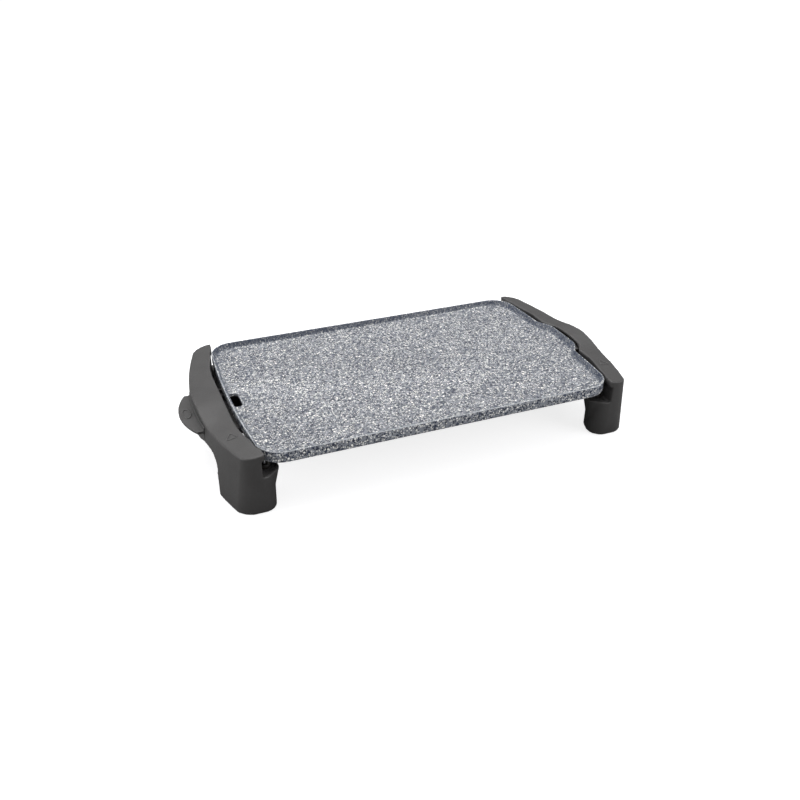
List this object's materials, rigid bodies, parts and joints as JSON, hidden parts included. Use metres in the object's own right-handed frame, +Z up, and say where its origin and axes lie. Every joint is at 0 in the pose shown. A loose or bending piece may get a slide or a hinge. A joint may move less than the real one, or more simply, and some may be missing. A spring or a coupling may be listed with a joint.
{
  "type": "electric griddle",
  "caption": "Electric table griddle: rimmed stone-look plate on dark moulded end frames, with a drain slot, a slide-out drip tray and an inlet for a plug-in thermostat.",
  "frame": {"origin": "centre of the footprint, on the surface that it stands on", "axes": "+X along the plate towards the inlet end, +Y towards the back, +Z up; the drip tray is at -X"},
  "size_m": [0.5334, 0.2826, 0.0763],
  "materials": {
    "stone_coating": "speckled non-stick coating on cast aluminium, satin",
    "element_steel": "heat-dulled steel sheath",
    "ceramic": "unglazed white ceramic",
    "spacer_phenolic": "black phenolic moulding",
    "nickel": "nickel plated",
    "guard_steel": "folded bright sheet",
    "screw_steel": "zinc plated",
    "handle_plastic": "fine moulded texture, charcoal",
    "tray_plastic": "fine moulded texture, charcoal",
    "foot_rubber": "matt black"
  },
  "bodies": {
    "griddle": {"griddle_plate": "stone_coating", "heating_element": "element_steel", "front_terminal_bush": "ceramic", "rear_terminal_bush": "ceramic", "front_contact_pin": "nickel", "rear_contact_pin": "nickel", "inlet_guard": "guard_steel", "earth_strip": "nickel", "guard_screws": "screw_steel", "left_end_frame": "handle_plastic", "right_end_frame": "handle_plastic", "front_left_spacer": "spacer_phenolic", "rear_left_spacer": "spacer_phenolic", "front_right_spacer": "spacer_phenolic", "rear_right_spacer": "spacer_phenolic", "front_left_screw": "screw_steel", "rear_left_screw": "screw_steel", "front_right_screw": "screw_steel", "rear_right_screw": "screw_steel", "screw_washers": "screw_steel", "front_left_foot": "foot_rubber", "rear_left_foot": "foot_rubber", "front_right_foot": "foot_rubber", "rear_right_foot": "foot_rubber"},
    "tray": {"drip_tray": "tray_plastic"}
  },
  "joints": [
    {"name": "tray_slide", "type": "slide", "parent": "griddle", "child": "tray", "axis": [-1, 0, 0], "range_m": [0, 0.09]}
  ]
}
